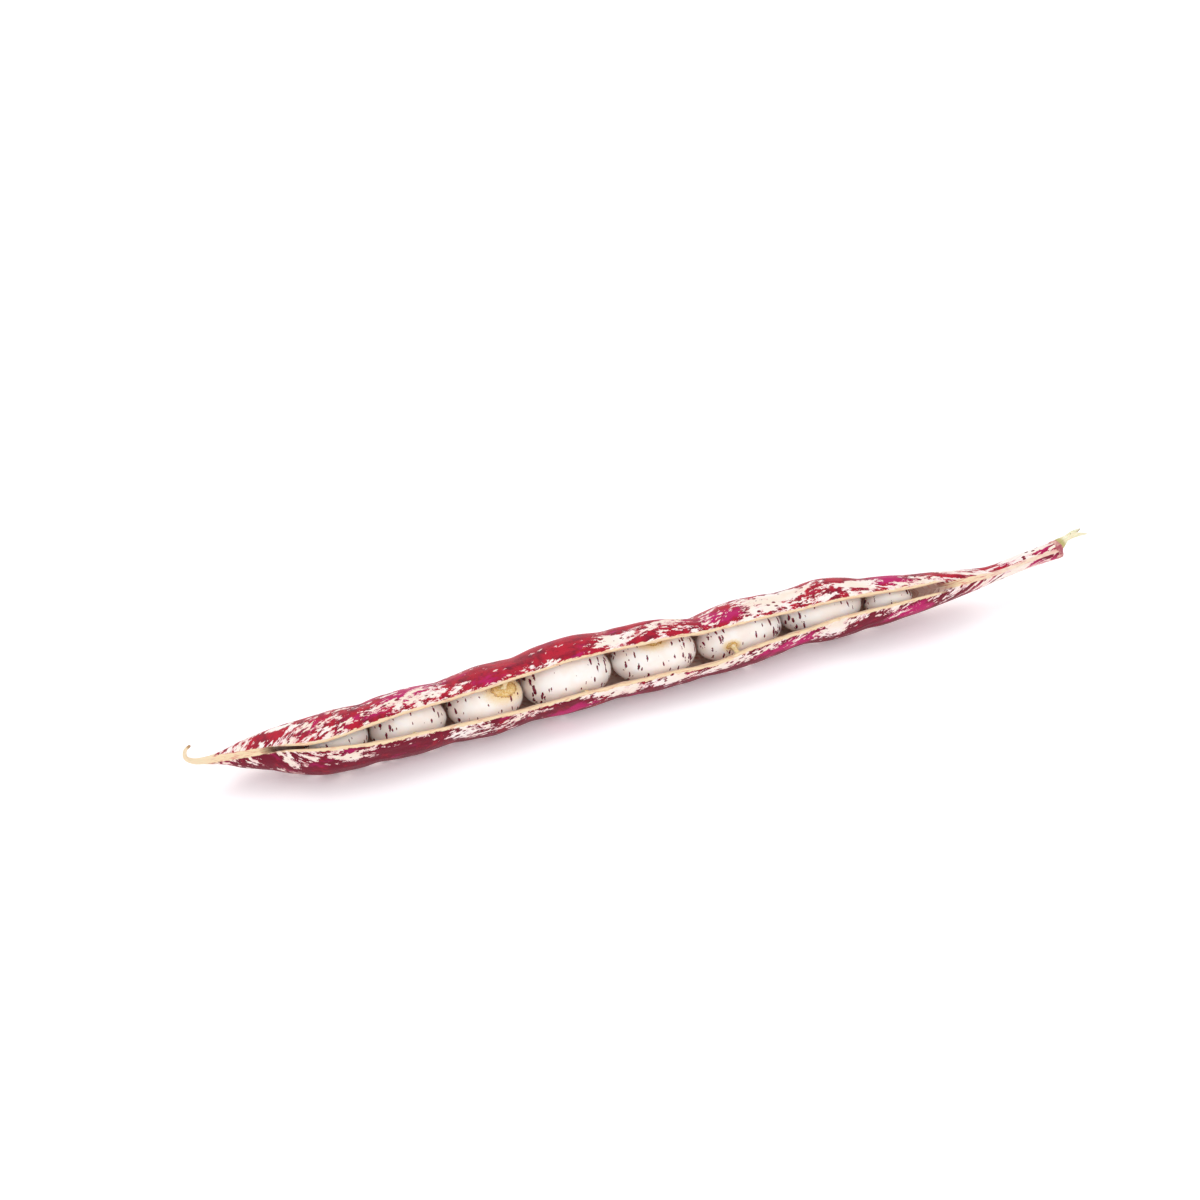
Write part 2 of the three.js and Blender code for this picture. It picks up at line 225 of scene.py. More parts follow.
def ring_mesh(name, rings, first_tip, last_tip, values, joined=None):
    """A closed mesh from rings of equal length, each joined to the next and to itself, with a
    fan of triangles from each end ring to its tip. values maps an attribute's name to one
    number per ring point; a tip takes the mean of its ring."""
    count, size = rings.shape[:2]
    points = np.vstack([rings.reshape(-1, 3), first_tip, last_tip])
    ring, side = np.meshgrid(np.arange(count - 1), np.arange(size), indexing="ij")
    a = ring * size + side
    b = ring * size + (side + 1) % size
    quads = np.stack([a, b, b + size, a + size], -1).reshape(-1, 4)
    around = np.arange(size)
    after = (around + 1) % size
    last = (count - 1) * size
    start = np.full(size, count * size)
    fans = np.vstack([
        np.stack([start, after, around], -1),
        np.stack([start + 1, last + around, last + after], -1),
    ])
    triangles = np.vstack([quads[:, [0, 1, 2]], quads[:, [0, 2, 3]], fans])
    corners = points[triangles]
    volume = np.einsum("ij,ij->i", corners[:, 0], np.cross(corners[:, 1], corners[:, 2])).sum() / 6
    if volume < 0:
        quads, fans = quads[:, ::-1], fans[:, ::-1]
    mesh = bpy.data.meshes.new(name)
    mesh.from_pydata((points * MM).tolist(), [], quads.tolist() + fans.tolist())
    for key, value in values.items():
        flat = np.append(value.ravel(), [value[0].mean(), value[-1].mean()])
        attribute = mesh.attributes.new(key, "FLOAT", "POINT")
        attribute.data.foreach_set("value", flat.astype(np.float32))
    mesh.shade_smooth()
    mesh.update()
    print(f"{name}: {len(mesh.polygons)} faces, {abs(volume) / 1000:.3f} cm3")
    return mesh


def piece(name, mesh, material, node):
    """An object for a finished mesh, riding on the frame in place of a solid node."""
    thing = bpy.data.objects.new(name, mesh)
    bpy.context.scene.collection.objects.link(thing)
    mesh.materials.append(material)
    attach(thing, "root")
    if node:
        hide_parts(node)
    return thing


def normals_of(rings):
    """Unit normals of a grid of rings: the cross product of the steps along and around it."""
    along = np.gradient(rings, axis=0)
    around = (np.roll(rings, -1, axis=1) - np.roll(rings, 1, axis=1)) / 2
    normal = np.cross(around, along)
    length = np.linalg.norm(normal, axis=-1, keepdims=True)
    return normal / np.maximum(length, 1e-9)


def waves(x, y, shortest, longest, seed, count=14):
    """An uneven surface between -1 and 1 or so: a sum of sine waves whose lengths lie between
    the two given, with seeded directions and phases."""
    draw = np.random.default_rng(seed)
    total = np.zeros(np.broadcast(x, y).shape)
    for _ in range(count):
        length = math.exp(draw.uniform(math.log(shortest), math.log(longest)))
        turn = draw.uniform(0, math.pi)
        phase = draw.uniform(0, 2 * math.pi)
        total += np.sin(2 * math.pi * (x * math.cos(turn) + y * math.sin(turn)) / length + phase)
    return total / math.sqrt(count)


def fade(value, low, high):
    """0 below low, 1 above high, and an S-shaped slope between; low may be the larger."""
    t = np.clip((value - low) / (high - low), 0, 1)
    return t * t * (3 - 2 * t)


def hump(value, middle, reach):
    """A bell of height 1 at the middle that has fallen to a third at its reach."""
    return np.exp(-(((value - middle) / reach) ** 2))


print("helpers ready")

# %% [markdown]
# ## The seeds' places
# Eight seeds sit in a row, small at both ends of the pod and largest in the middle. They hang
# from the two rims in turn, so each has its scar turned a little under one rim or the other.

# %% Seeds, in millimetres and degrees
# along, half length, half thickness, half depth, rise, roll, scar along, scar turn, scar size
SEEDS = np.array([
    [27.9, 5.25, 3.25, 3.65, 0.2, 12, 0.5, 80, 0.8],
    [40.0, 6.5, 3.8, 4.1, 0.35, -14, -0.5, -80, 0.9],
    [53.4, 6.5, 4.05, 4.3, 0.35, 20, 2.7, 44, 1.5],
    [68.1, 7.8, 4.45, 4.55, 0.25, -10, 1.5, -78, 1.0],
    [83.6, 7.3, 4.15, 4.4, 0.3, 16, -0.6, 64, 1.2],
    [99.1, 7.8, 3.85, 4.25, 0.3, -18, -3.2, -38, 0.62],
    [114.5, 7.2, 3.45, 3.75, 0.45, 10, 0.5, 80, 0.9],
    [126.3, 4.2, 2.3, 2.75, 0.35, -8, 0.0, -80, 0.7],
])
SEED_ENDS = (SEEDS[:-1, 0] + SEEDS[:-1, 1] + SEEDS[1:, 0] - SEEDS[1:, 1]) / 2
print("places between the seeds:", np.round(SEED_ENDS, 1))

# %% [markdown]
# ## The pod's section
# The section is a C: round the outside from rim to rim by way of the back, over one rounded
# lip, round the seed cavity, and over the other lip. Toward both ends the cavity shrinks
# onto the outer skin, so the same loop of points also makes the solid beak and the neck. A
# Boolean cut could make the opening too, but then the points would not run along the rims,
# where the pale edge and its fine lines need them.

# %% Section of the pod
OUTER_STEPS = 100
INNER_STEPS = 72
LIP_STEPS = 14


def lip_curve(outer_p, outer_q, inner_p, inner_q, t):
    """A rounded lip: the straight line between its corners plus a half sine wave, outward."""
    step_p, step_q = inner_p - outer_p, inner_q - outer_q
    bulge = LIP_ROUND * np.sin(np.pi * t) / np.hypot(step_p, step_q)
    return outer_p + step_p * t + step_q * bulge, outer_q + step_q * t - step_p * bulge


def pod_section(along):
    """Loops (across, open) of the section at many places along the pod, starting on the
    cavity's floor and passing near lip, back and far lip, with how far each point has come past
    the rim's outer corner and how hollow the pod is there."""
    axes = pod_axes(along)
    half_width, half_depth = axes["half_width"], axes["half_depth"]
    half_split = np.maximum(follow(SPLIT, along), 0) / 2
    hollow = np.clip(follow(HOLLOW, along), 0, 1)
    rim = np.minimum(half_split + LIP, 0.72 * half_width)
    rim_angle = np.arccos(rim / half_width)

    def skin(angle):
        p = half_width * np.cos(angle)
        ridge = BACK_RIDGE * hump(p, 0, BACK_RIDGE_WIDTH) * (np.sin(angle) < 0)
        return p, half_depth * np.sin(angle) - ridge * np.minimum(half_depth / 5, 1)

    inner_width = np.maximum(half_width - WALL, 0.3 * half_width)
    inner_depth = np.maximum(half_depth - WALL, 0.3 * half_depth)
    inner_split = np.minimum(half_split, 0.6 * inner_width)
    inner_angle = np.arccos(inner_split / inner_width)

    t = np.arange(OUTER_STEPS) / OUTER_STEPS
    outer = skin(np.pi - rim_angle + (np.pi + 2 * rim_angle) * t)
    corners = (rim, half_depth * np.sin(rim_angle), inner_split, inner_depth * np.sin(inner_angle))
    far_lip = lip_curve(*corners, np.arange(LIP_STEPS) / LIP_STEPS)
    inner_t = np.arange(INNER_STEPS + 1) / INNER_STEPS
    angle = 2 * np.pi + inner_angle - (np.pi + 2 * inner_angle) * inner_t
    wall = (inner_width * np.cos(angle), inner_depth * np.sin(angle))
    near_lip = lip_curve(*corners, 1 - np.arange(1, LIP_STEPS) / LIP_STEPS)
    inside_p = np.concatenate([far_lip[0], wall[0], -near_lip[0]], axis=1)
    inside_q = np.concatenate([far_lip[1], wall[1], near_lip[1]], axis=1)

    steps = inside_p.shape[1]
    skin_p, skin_q = skin(rim_angle + (np.pi - 2 * rim_angle) * np.arange(steps) / steps)
    p = np.concatenate([outer[0], skin_p + (inside_p - skin_p) * hollow], axis=1)
    q = np.concatenate([outer[1], skin_q + (inside_q - skin_q) * hollow], axis=1)
    start = OUTER_STEPS + LIP_STEPS + INNER_STEPS // 2
    return axes, np.roll(p, -start, axis=1), np.roll(q, -start, axis=1), hollow


def skin_map(p, q):
    """Two rulers laid on the section: around is the distance from the back seam, negative on the
    near valve, and past_rim is the distance past the rim's outer corner, negative outside."""
    size = p.shape[1]
    step = np.hypot(np.diff(p, axis=1, append=p[:, :1]), np.diff(q, axis=1, append=q[:, :1]))
    run = np.concatenate([np.zeros((len(p), 1)), np.cumsum(step, axis=1)[:, :-1]], axis=1)
    near_corner = INNER_STEPS // 2 + LIP_STEPS
    back = near_corner + OUTER_STEPS // 2
    far_corner = near_corner + OUTER_STEPS
    around = run - run[:, back:back + 1]
    past_near = run[:, near_corner:near_corner + 1] - run
    past_far = run - run[:, far_corner:far_corner + 1]
    past_rim = np.where(np.arange(size) < back, past_near, past_far)
    return around, past_rim


widest = np.array([68.0])
_, test_p, test_q, _ = pod_section(widest)
print("split between the inner corners:", round(float(follow(SPLIT, widest)[0, 0]), 2), "mm")
print("skin length of one section:", round(float(np.ptp(skin_map(test_p, test_q)[0])), 1), "mm")

# %% [markdown]
# ## Relief
# A pod is never a clean tube. It swells over each seed, its walls draw in between them, its
# skin has shallow lengthwise furrows, and the rims wander where the seam tore. These are
# real bumps of up to half a millimetre, so they are moved into the mesh and not left to
# the shading. Between the seeds the inner wall bulges into soft cushions.

# %% Grow the pod's surface
POD_RINGS = 470
# ring number, along: rings crowd at the hooked beak
RING_PLACES = np.array([[0, 0], [34, 8], [70, 22], [410, 139], [POD_RINGS - 1, NECK_END]])


def pod_relief(along, around, past_rim, p, half_width, hollow):
    """How far the skin stands out, in mm: swellings over the seeds on the flanks, furrows and
    dimples from summed waves, a crease beside each seam, and cushions inside between the
    seeds."""
    outside = fade(past_rim, 0.1, -0.8)
    inside = fade(past_rim, 0.9, 2.5) * hollow
    body = fade(along, 8, 24) * fade(along, 146, 132)
    flank = np.clip(np.abs(p) / half_width, 0, 1) ** 2
    over_seeds = sum(hump(along, s, 0.62 * h) for s, h in SEEDS[:, :2])
    between = sum(hump(along, s, 1.5) for s in SEED_ENDS)
    swelling = body * flank * (0.13 * over_seeds - 0.16 * between)
    furrows = 0.035 * waves(along / 9, around, 1.3, 3.2, 11)
    dimples = 0.05 * waves(along / 1.6, around, 3.5, 8, 12)
    back_crease = -0.09 * hump(np.abs(around), 0.95, 0.3)
    size = np.minimum(half_width / 4, 1)
    relief = outside * (swelling + (furrows + dimples + back_crease) * size)
    cushions = 0.55 * between + 0.05 * waves(along, around, 1.2, 4, 13)
    closed = (1 - hollow) * fade(past_rim, -0.5, 0.1) * size
    seam = closed * (0.14 * hump(np.abs(p), 0.5, 0.22) - 0.16 * hump(p, 0, 0.16))
    return relief + inside * cushions + seam


def wander(along, side):
    """How far a torn rim strays from its clean line, in mm, the same down its whole lip."""
    slow = 0.13 * waves(along, 0 * along, 6, 17, 21 + side)
    quick = 0.045 * waves(along, 0 * along, 0.9, 2.6, 31 + side)
    return slow + quick


def grow_pod():
    """Rings of the pod's skin: the section placed along the middle line, its rims moved by the
    wander, its underside pressed flat by its weight, and every point moved along its normal by
    the relief, never below the table."""
    along = follow(RING_PLACES, np.arange(POD_RINGS, dtype=float))[:, 0]
    axes, p, q, hollow = pod_section(along)
    around, past_rim = skin_map(p, q)
    s = np.broadcast_to(along[:, None], p.shape)
    near_rim = hump(past_rim, 0.6, 1.1) * hollow
    stray = np.where(around < 0, wander(s, 0), wander(s, 1))
    q = q + near_rim * stray
    p = p + near_rim * 0.5 * np.sign(around) * np.where(around < 0, wander(s, 2), wander(s, 3))
    rings = place(axes, p, q)
    normal = normals_of(rings)
    halfway = POD_RINGS // 2
    outward = np.sign(np.sum(normal[halfway] * (rings[halfway] - axes["middle"][halfway])))
    relief = pod_relief(s, around, past_rim, p, axes["half_width"], hollow)
    height = rings[..., 2]
    pressing = SOLE * np.clip(1 - height / SOLE_REACH, 0, 1) ** 2
    rings[..., 2] = height - pressing * (past_rim < 0)
    rings = rings + normal * outward * relief[..., None]
    rings[..., 2] = np.maximum(rings[..., 2], 0)
    values = {
        "along": s,
        "around": around,
        "past_rim": past_rim,
        "hollow": np.broadcast_to(hollow, p.shape),
        "across": p,
    }
    return rings, values


pod_rings, pod_values = grow_pod()
print("pod rings:", pod_rings.shape, "lowest", round(float(pod_rings[..., 2].min()), 3), "mm")

# %% [markdown]
# ## Where the colour runs
# The crimson of a borlotti pod is laid down in flames that follow the pod, dense in some
# places and missing in others. Pure noise would spread it evenly. So a few soft brush marks,
# placed on each valve, push the flames toward or away from a place, and the shader's
# noise only decides their ragged outline. A second, smaller set turns crimson to magenta.

# %% Brush marks
# valve (1 far, -1 near), along, depth below the rim, reach along, reach down, push
FLUSH = np.array([
    [-1, 75.0, 5.0, 70.0, 2.6, 1.1], [1, 60.0, 7.0, 40.0, 2.5, 0.9],
    [1, 18.0, 1.5, 3.5, 1.0, 1.2], [1, 19.0, 3.6, 4.0, 1.0, -1.0], [1, 17.0, 5.2, 5.0, 0.7, 0.9],
    [1, 30.0, 3.0, 5.0, 2.0, 0.4], [1, 41.0, 2.0, 5.0, 1.5, -0.4],
    [1, 52.0, 2.5, 5.0, 2.0, 1.1], [1, 60.0, 4.0, 6.0, 3.0, 1.3], [1, 61.0, 0.8, 3.2, 0.7, -0.7],
    [1, 69.0, 3.0, 4.0, 3.5, 1.3], [1, 75.5, 1.9, 4.5, 1.2, -1.4], [1, 80.0, 4.7, 6.0, 1.6, 1.2],
    [1, 81.0, 0.3, 7.0, 0.4, 0.7], [1, 86.5, 3.8, 3.0, 1.7, -1.0], [1, 90.0, 2.5, 2.0, 2.0, 0.9],
    [1, 94.0, 3.2, 2.6, 1.3, -0.7], [1, 97.5, 2.4, 3.4, 2.0, 1.0], [1, 106.0, 3.0, 6.0, 2.4, -1.5],
    [1, 106.0, 6.6, 8.0, 0.8, 0.9], [1, 113.5, 1.9, 3.0, 0.8, 1.3], [1, 118.0, 4.6, 5.0, 1.1, 1.3],
    [1, 120.0, 2.2, 4.6, 0.9, -1.5], [1, 126.5, 2.5, 3.0, 2.0, 1.1], [1, 136.0, 3.0, 5.0, 3.0, 0.4],
    [-1, 16.5, 2.0, 3.0, 1.3, 1.2], [-1, 28.0, 1.1, 3.5, 1.0, -0.9], [-1, 28.0, 4.2, 6.0, 2.0, 1.3],
    [-1, 37.5, 2.7, 6.5, 2.8, 2.0], [-1, 46.0, 1.5, 2.2, 1.2, -0.8], [-1, 52.0, 1.8, 4.0, 1.5, -0.5],
    [-1, 52.0, 5.0, 6.0, 1.5, 1.0], [-1, 59.0, 3.2, 3.0, 1.5, 1.0], [-1, 66.5, 2.2, 5.0, 1.8, 1.5],
    [-1, 75.0, 1.1, 4.0, 1.1, -1.2], [-1, 75.0, 4.5, 5.0, 1.5, 1.0], [-1, 81.0, 2.9, 2.5, 1.2, 1.1],
    [-1, 84.0, 0.8, 4.0, 0.8, -0.9], [-1, 90.0, 3.2, 3.0, 1.2, 1.2], [-1, 90.0, 1.0, 3.0, 0.8, -0.9],
    [-1, 97.0, 1.0, 4.0, 1.0, -0.7], [-1, 97.0, 3.5, 4.0, 1.2, 0.8], [-1, 106.5, 2.2, 6.0, 1.5, 0.5],
    [1, 151.0, 1.5, 7.0, 1.3, -1.3], [-1, 151.0, 1.5, 7.0, 1.3, -1.2],
    [-1, 115.5, 1.5, 2.2, 1.5, -1.4], [-1, 122.0, 3.0, 5.0, 1.7, 1.5], [-1, 131.0, 3.0, 5.0, 2.5, 1.0],
])
MAGENTA = np.array([
    [1, 94.0, 2.0, 5.0, 2.0, 0.6], [1, 126.0, 2.5, 3.5, 2.0, 1.0], [1, 40.0, 4.0, 9.0, 3.0, 0.6],
    [-1, 107.0, 1.6, 6.0, 1.6, 1.0], [-1, 67.0, 2.4, 4.0, 1.6, 0.7], [-1, 129.0, 1.5, 4.0, 1.5, 0.9],
    [-1, 150.0, 2.0, 8.0, 4.0, 0.8], [1, 150.0, 2.0, 8.0, 4.0, 0.8],
])


def brushed(marks, values):
    """The sum of the marks at every point of the pod: each is a bell along the pod times a bell
    down its valve, times its push."""
    total = np.zeros(values["along"].shape)
    valve_here = np.sign(values["around"])
    for valve, along, depth, reach, drop, push in marks:
        bell = hump(values["along"], along, reach) * hump(-values["past_rim"], depth, drop)
        total += push * bell * (valve_here == valve)
    return total


pod_values["flush"] = brushed(FLUSH, pod_values)
pod_values["magenta"] = brushed(MAGENTA, pod_values)
flush_low, flush_high = (round(float(end), 2) for end in np.percentile(pod_values["flush"], [0, 100]))
print("flush runs from", flush_low, "to", flush_high)

# %% [markdown]
# ## A shorthand for materials
# A node material is a small calculation drawn as boxes. Writing it out box by box hides the
# idea, so a thin wrapper gives each kind of box a short name. Anything that is the same all
# over a surface is set straight on the shader.

# %% Shader shorthand


def colour(red, green, blue):
    """A colour given as it looks on a screen, 0 to 255, turned into linear light."""
    share = np.array([red, green, blue]) / 255
    linear = np.where(share <= 0.04045, share / 12.92, ((share + 0.055) / 1.055) ** 2.4)
    return (*linear.tolist(), 1.0)


class Finish:
    """One material under construction, with a short method for each kind of node."""

    def __init__(self, name, **settings):
        self.material = bpy.data.materials.new(name)
        self.material.use_nodes = True
        self.tree = self.material.node_tree
        self.shader = self.tree.nodes["Principled BSDF"]
        for socket, value in settings.items():
            self.shader.inputs[socket.replace("_", " ")].default_value = value

    def node(self, kind, inputs=(), **settings):
        made = self.tree.nodes.new(kind)
        for key, value in settings.items():
            setattr(made, key, value)
        for key, value in inputs:
            if isinstance(value, bpy.types.NodeSocket):
                self.tree.links.new(value, made.inputs[key])
            elif value is not None:
                made.inputs[key].default_value = value
        return made

    def read(self, name):
        """An attribute stored on the mesh."""
        return self.node("ShaderNodeAttribute", attribute_name=name).outputs["Fac"]

    def sum(self, operation, a, b=None, c=None, clamp=False):
        inputs = [(i, v) for i, v in enumerate((a, b, c)) if v is not None]
        return self.node("ShaderNodeMath", inputs, operation=operation, use_clamp=clamp).outputs[0]

    def vector(self, x, y, z=0.0):
        return self.node("ShaderNodeCombineXYZ", [(0, x), (1, y), (2, z)]).outputs[0]

    def vector_sum(self, first, second):
        return self.node("ShaderNodeVectorMath", [(0, first), (1, second)], operation="ADD").outputs[0]

    def scaled(self, vector, factor):
        """A place or a colour times one number."""
        inputs = [(0, vector), ("Scale", factor)]
        return self.node("ShaderNodeVectorMath", inputs, operation="SCALE").outputs[0]

    def noise(self, vector, scale, detail=4.0, roughness=0.5, distortion=0.0):
        inputs = [("Vector", vector), ("Scale", scale), ("Detail", detail),
                  ("Roughness", roughness), ("Distortion", distortion)]
        return self.node("ShaderNodeTexNoise", inputs).outputs["Fac"]

    def cells(self, vector, scale, randomness=1.0):
        """Distance to the nearest scattered point, and a random colour for each point."""
        inputs = [("Vector", vector), ("Scale", scale), ("Randomness", randomness)]
        made = self.node("ShaderNodeTexVoronoi", inputs)
        return made.outputs["Distance"], made.outputs["Color"]

    def fade(self, value, low, high):
        """0 at low, 1 at high, S-shaped between."""
        inputs = [("Value", value), ("From Min", low), ("From Max", high)]
        made = self.node("ShaderNodeMapRange", inputs, interpolation_type="SMOOTHSTEP")
        return made.outputs["Result"]

    def mix(self, share, first, second):
        inputs = [(0, share), (6, first), (7, second)]
        return self.node("ShaderNodeMix", inputs, data_type="RGBA").outputs[2]

    def blend(self, share, first, second):
        """A mixture of two places."""
        inputs = [(0, share), (4, first), (5, second)]
        return self.node("ShaderNodeMix", inputs, data_type="VECTOR").outputs[1]

    def bump(self, height, distance, strength=1.0, under=None):
        inputs = [("Height", height), ("Distance", distance), ("Strength", strength), ("Normal", under)]
        return self.node("ShaderNodeBump", inputs).outputs[0]

    def wear(self, **sockets):
        for socket, value in sockets.items():
            self.tree.links.new(value, self.shader.inputs[socket.replace("_", " ")])
        return self.material


print("shader shorthand ready")

# %% [markdown]
# ## The pod's skin
# Cream skin, crimson flames with ragged edges, and small dark dots. One noise at one size
# would look like camouflage, so a large one gives the flames, and a finer one is added before
# the threshold to fray them. Both are read near the centres of small cells, which gives the
# edges their torn, stepped look, and both are drawn out into streaks along the neck. The dots
# are scattered points. The rims and seams are pale straw, the seed cavity is silky and
# pinkish, and the beak dries to cream with a brown tip.
# On the near valve the flames are painted a deeper crimson, partly the pod's own colour and partly
# painted shade.

# %% Skin material
CREAM = colour(242, 226, 210)
WHITE_SKIN = colour(248, 240, 234)
CRIMSON = colour(182, 4, 42)
DEEP_CRIMSON = colour(112, 0, 34)
MAGENTA_RED = colour(184, 6, 96)
PINK = colour(222, 110, 146)
MAROON = colour(124, 4, 38)
STRAW = colour(240, 216, 178)
LINING = colour(252, 226, 215)
LINING_SHADE = colour(224, 168, 150)
FLAME_SQUEEZE = 0.45
NECK_START = 136.0
NECK_SQUEEZE = 0.18


def skin_pattern(finish):
    """Where the flames, their pink fringe and the small dark dots lie, 0 to 1 each, with the two
    noises that later fray other edges and vary other colours."""
    along, around, flush = finish.read("along"), finish.read("around"), finish.read("flush")
    slanted = finish.sum("ADD", around, finish.sum("MULTIPLY", along, 0.12))
    past_body = finish.sum("MAXIMUM", finish.sum("SUBTRACT", along, NECK_START), 0.0)
    drawn_out = finish.sum("MULTIPLY", along, FLAME_SQUEEZE)
    drawn_out = finish.sum("MULTIPLY_ADD", past_body, NECK_SQUEEZE - FLAME_SQUEEZE, drawn_out)
    smooth = finish.vector(drawn_out, slanted)
    sway = finish.node("ShaderNodeTexNoise", [("Vector", smooth), ("Scale", 6.0), ("Detail", 4.0)])
    swayed = finish.vector_sum(smooth, finish.scaled(sway.outputs["Color"], 0.42))
    grains = [("Vector", swayed), ("Scale", 3.1)]
    grain = finish.node("ShaderNodeTexVoronoi", grains).outputs["Position"]
    grainy = finish.blend(0.72, smooth, grain)
    large = finish.noise(grainy, 0.48, 9, 0.68, 0.3)
    middle = finish.noise(grainy, 1.9, 5, 0.66, 0.4)
    push = finish.sum("MULTIPLY_ADD", flush, 0.135, large)
    push = finish.sum("MULTIPLY_ADD", finish.sum("SUBTRACT", middle, 0.5), 0.7, push)
    flames = finish.fade(push, 0.492, 0.504)
    fringe = finish.fade(push, 0.42, 0.5)
    fleck_place = finish.vector(finish.sum("MULTIPLY", along, 0.62), slanted, 3.0)
    distance, pick = finish.cells(fleck_place, 1.35)
    size = finish.node("ShaderNodeSeparateColor", [(0, pick)]).outputs[0]
    size = finish.sum("MULTIPLY_ADD", size, 0.9, -0.5)
    rough_edge = finish.sum("MULTIPLY_ADD", finish.noise(fleck_place, 5.0, 2, 0.5), 0.2, -0.1)
    reach = finish.sum("ADD", size, rough_edge)
    dots = finish.fade(finish.sum("SUBTRACT", distance, reach), 0.04, -0.02)
    return flames, fringe, dots, smooth, middle


def pod_finish():
    finish = Finish(
        "pod_skin",
        Specular_IOR_Level=0.22,
        Subsurface_Weight=0.06,
        Subsurface_Radius=(1.0, 0.3, 0.3),
        Subsurface_Scale=0.0007,
        Coat_Weight=0.06,
        Coat_Roughness=0.25,
    )
    along, around = finish.read("along"), finish.read("around")
    past_rim, hollow = finish.read("past_rim"), finish.read("hollow")
    across, magenta = finish.read("across"), finish.read("magenta")
    flames, fringe, dots, smooth, middle = skin_pattern(finish)

    # colours of the ground and of the flames
    patch = finish.noise(smooth, 0.3, 3, 0.5)
    ground = finish.mix(finish.fade(patch, 0.35, 0.65), WHITE_SKIN, CREAM)
    ground = finish.mix(finish.sum("MULTIPLY", fringe, 0.4), ground, PINK)
    tone = finish.noise(finish.vector(along, around, 11.0), 0.5, 8, 0.7)
    # painted shade: the near valve, which faces the table, gets deeper crimson flames, partly the pod's
    # own colour and partly painted shade
    near_valve_deeper_and_shaded = finish.fade(around, 1.0, -3.0)
    tone = finish.sum("MULTIPLY_ADD", near_valve_deeper_and_shaded, -0.15, tone)
    flame = finish.mix(finish.fade(tone, 0.34, 0.6), DEEP_CRIMSON, CRIMSON)
    hue = finish.sum("MULTIPLY_ADD", magenta, 0.35, finish.noise(smooth, 0.3, 4, 0.7))
    flame = finish.mix(finish.fade(hue, 0.55, 0.74), flame, MAGENTA_RED)
    skin = finish.mix(dots, ground, MAROON)
    skin = finish.mix(flames, skin, flame)

    # pale seams: along the back, and where the split is still closed
    run = finish.sum("MULTIPLY", along, 0.12)
    fibre = finish.noise(finish.vector(run, around, 5.0), 5.0, 4, 0.6)
    straw = finish.mix(finish.fade(fibre, 0.5, 0.68), STRAW, PINK)
    frayed = finish.sum("MULTIPLY_ADD", middle, 0.7, -0.35)
    back = finish.fade(finish.sum("ADD", finish.sum("ABSOLUTE", around), frayed), 0.72, 0.55)
    skin = finish.mix(back, skin, straw)
    strip_fibre = finish.noise(finish.vector(run, across, 6.0), 5.0, 4, 0.6)
    straw_strip = finish.mix(finish.fade(strip_fibre, 0.5, 0.66), STRAW, colour(214, 120, 116))
    neck = finish.fade(along, 138.0, 149.0)
    narrowed = finish.sum("MULTIPLY_ADD", neck, 0.26, finish.sum("ABSOLUTE", across))
    strip = finish.fade(finish.sum("ADD", narrowed, frayed), 0.62, 0.5)
    straw_strip = finish.mix(finish.sum("MULTIPLY", neck, 0.5), straw_strip, ground)
    closed = finish.fade(hollow, 0.6, 0.2)
    split_side = finish.fade(past_rim, -0.9, -0.6)
    strip = finish.sum("MULTIPLY", finish.sum("MULTIPLY", strip, closed), split_side)
    skin = finish.mix(strip, skin, straw_strip)

    # the beak dries pale and ends in a dark point
    ragged = finish.sum("MULTIPLY_ADD", middle, 6.0, along)
    skin = finish.mix(finish.fade(ragged, 11.5, 9.0), skin, colour(236, 216, 182))
    skin = finish.mix(finish.fade(along, 0.9, 0.3), skin, colour(178, 140, 98))

    # torn rims with one thin pink line, then the lining
    rim_place = finish.sum("MULTIPLY_ADD", finish.sum("SUBTRACT", middle, 0.5), 1.1, past_rim)
    open_here = finish.fade(hollow, 0.3, 0.7)
    on_rim = finish.sum("MULTIPLY", finish.fade(rim_place, 0.3, 0.38), open_here)
    line = finish.sum("MULTIPLY", finish.fade(past_rim, 0.82, 0.9), finish.fade(past_rim, 1.08, 0.98))
    rim_fibre = finish.noise(finish.vector(run, past_rim, 8.0), 5.0, 4, 0.6)
    rim = finish.mix(finish.fade(rim_fibre, 0.5, 0.7), STRAW, colour(222, 158, 136))
    rim = finish.mix(finish.sum("MULTIPLY", line, 0.35), rim, colour(176, 104, 96))
    vein = finish.noise(finish.vector(finish.sum("MULTIPLY", along, 0.5), past_rim, 9.0), 1.6, 5, 0.6)
    lining = finish.mix(finish.fade(vein, 0.45, 0.72), LINING, LINING_SHADE)
    rim = finish.mix(finish.fade(past_rim, 1.05, 1.5), rim, lining)
    skin = finish.mix(on_rim, skin, rim)

    # fine relief: lengthwise fibres and pores
    pores = finish.noise(finish.vector(along, around, 2.0), 7.0, 3, 0.6)
    height = finish.sum("MULTIPLY_ADD", fibre, 0.6, finish.sum("MULTIPLY", pores, 0.35))
    rough = finish.fade(finish.sum("MULTIPLY_ADD", pores, 0.4, fibre), 0.2, 1.3)
    rough = finish.sum("MULTIPLY_ADD", rough, 0.3, 0.36)
    return finish.wear(
        Base_Color=skin,
        Roughness=rough,
        Normal=finish.bump(height, 0.00009, 0.8),
    )


pod_material = pod_finish()
print("skin nodes:", len(pod_material.node_tree.nodes))

# %% Finish the pod
# how far the rings that close the cut neck reach, as shares of the last ring
CUT_SHARES = (0.97, 0.9, 0.6, 0.25)


def shrunk_rings(rings, tip, shares):
    """Copies of the last ring drawn in toward a point, to close a cut end smoothly."""
    return np.stack([tip + (rings[-1] - tip) * share for share in shares])


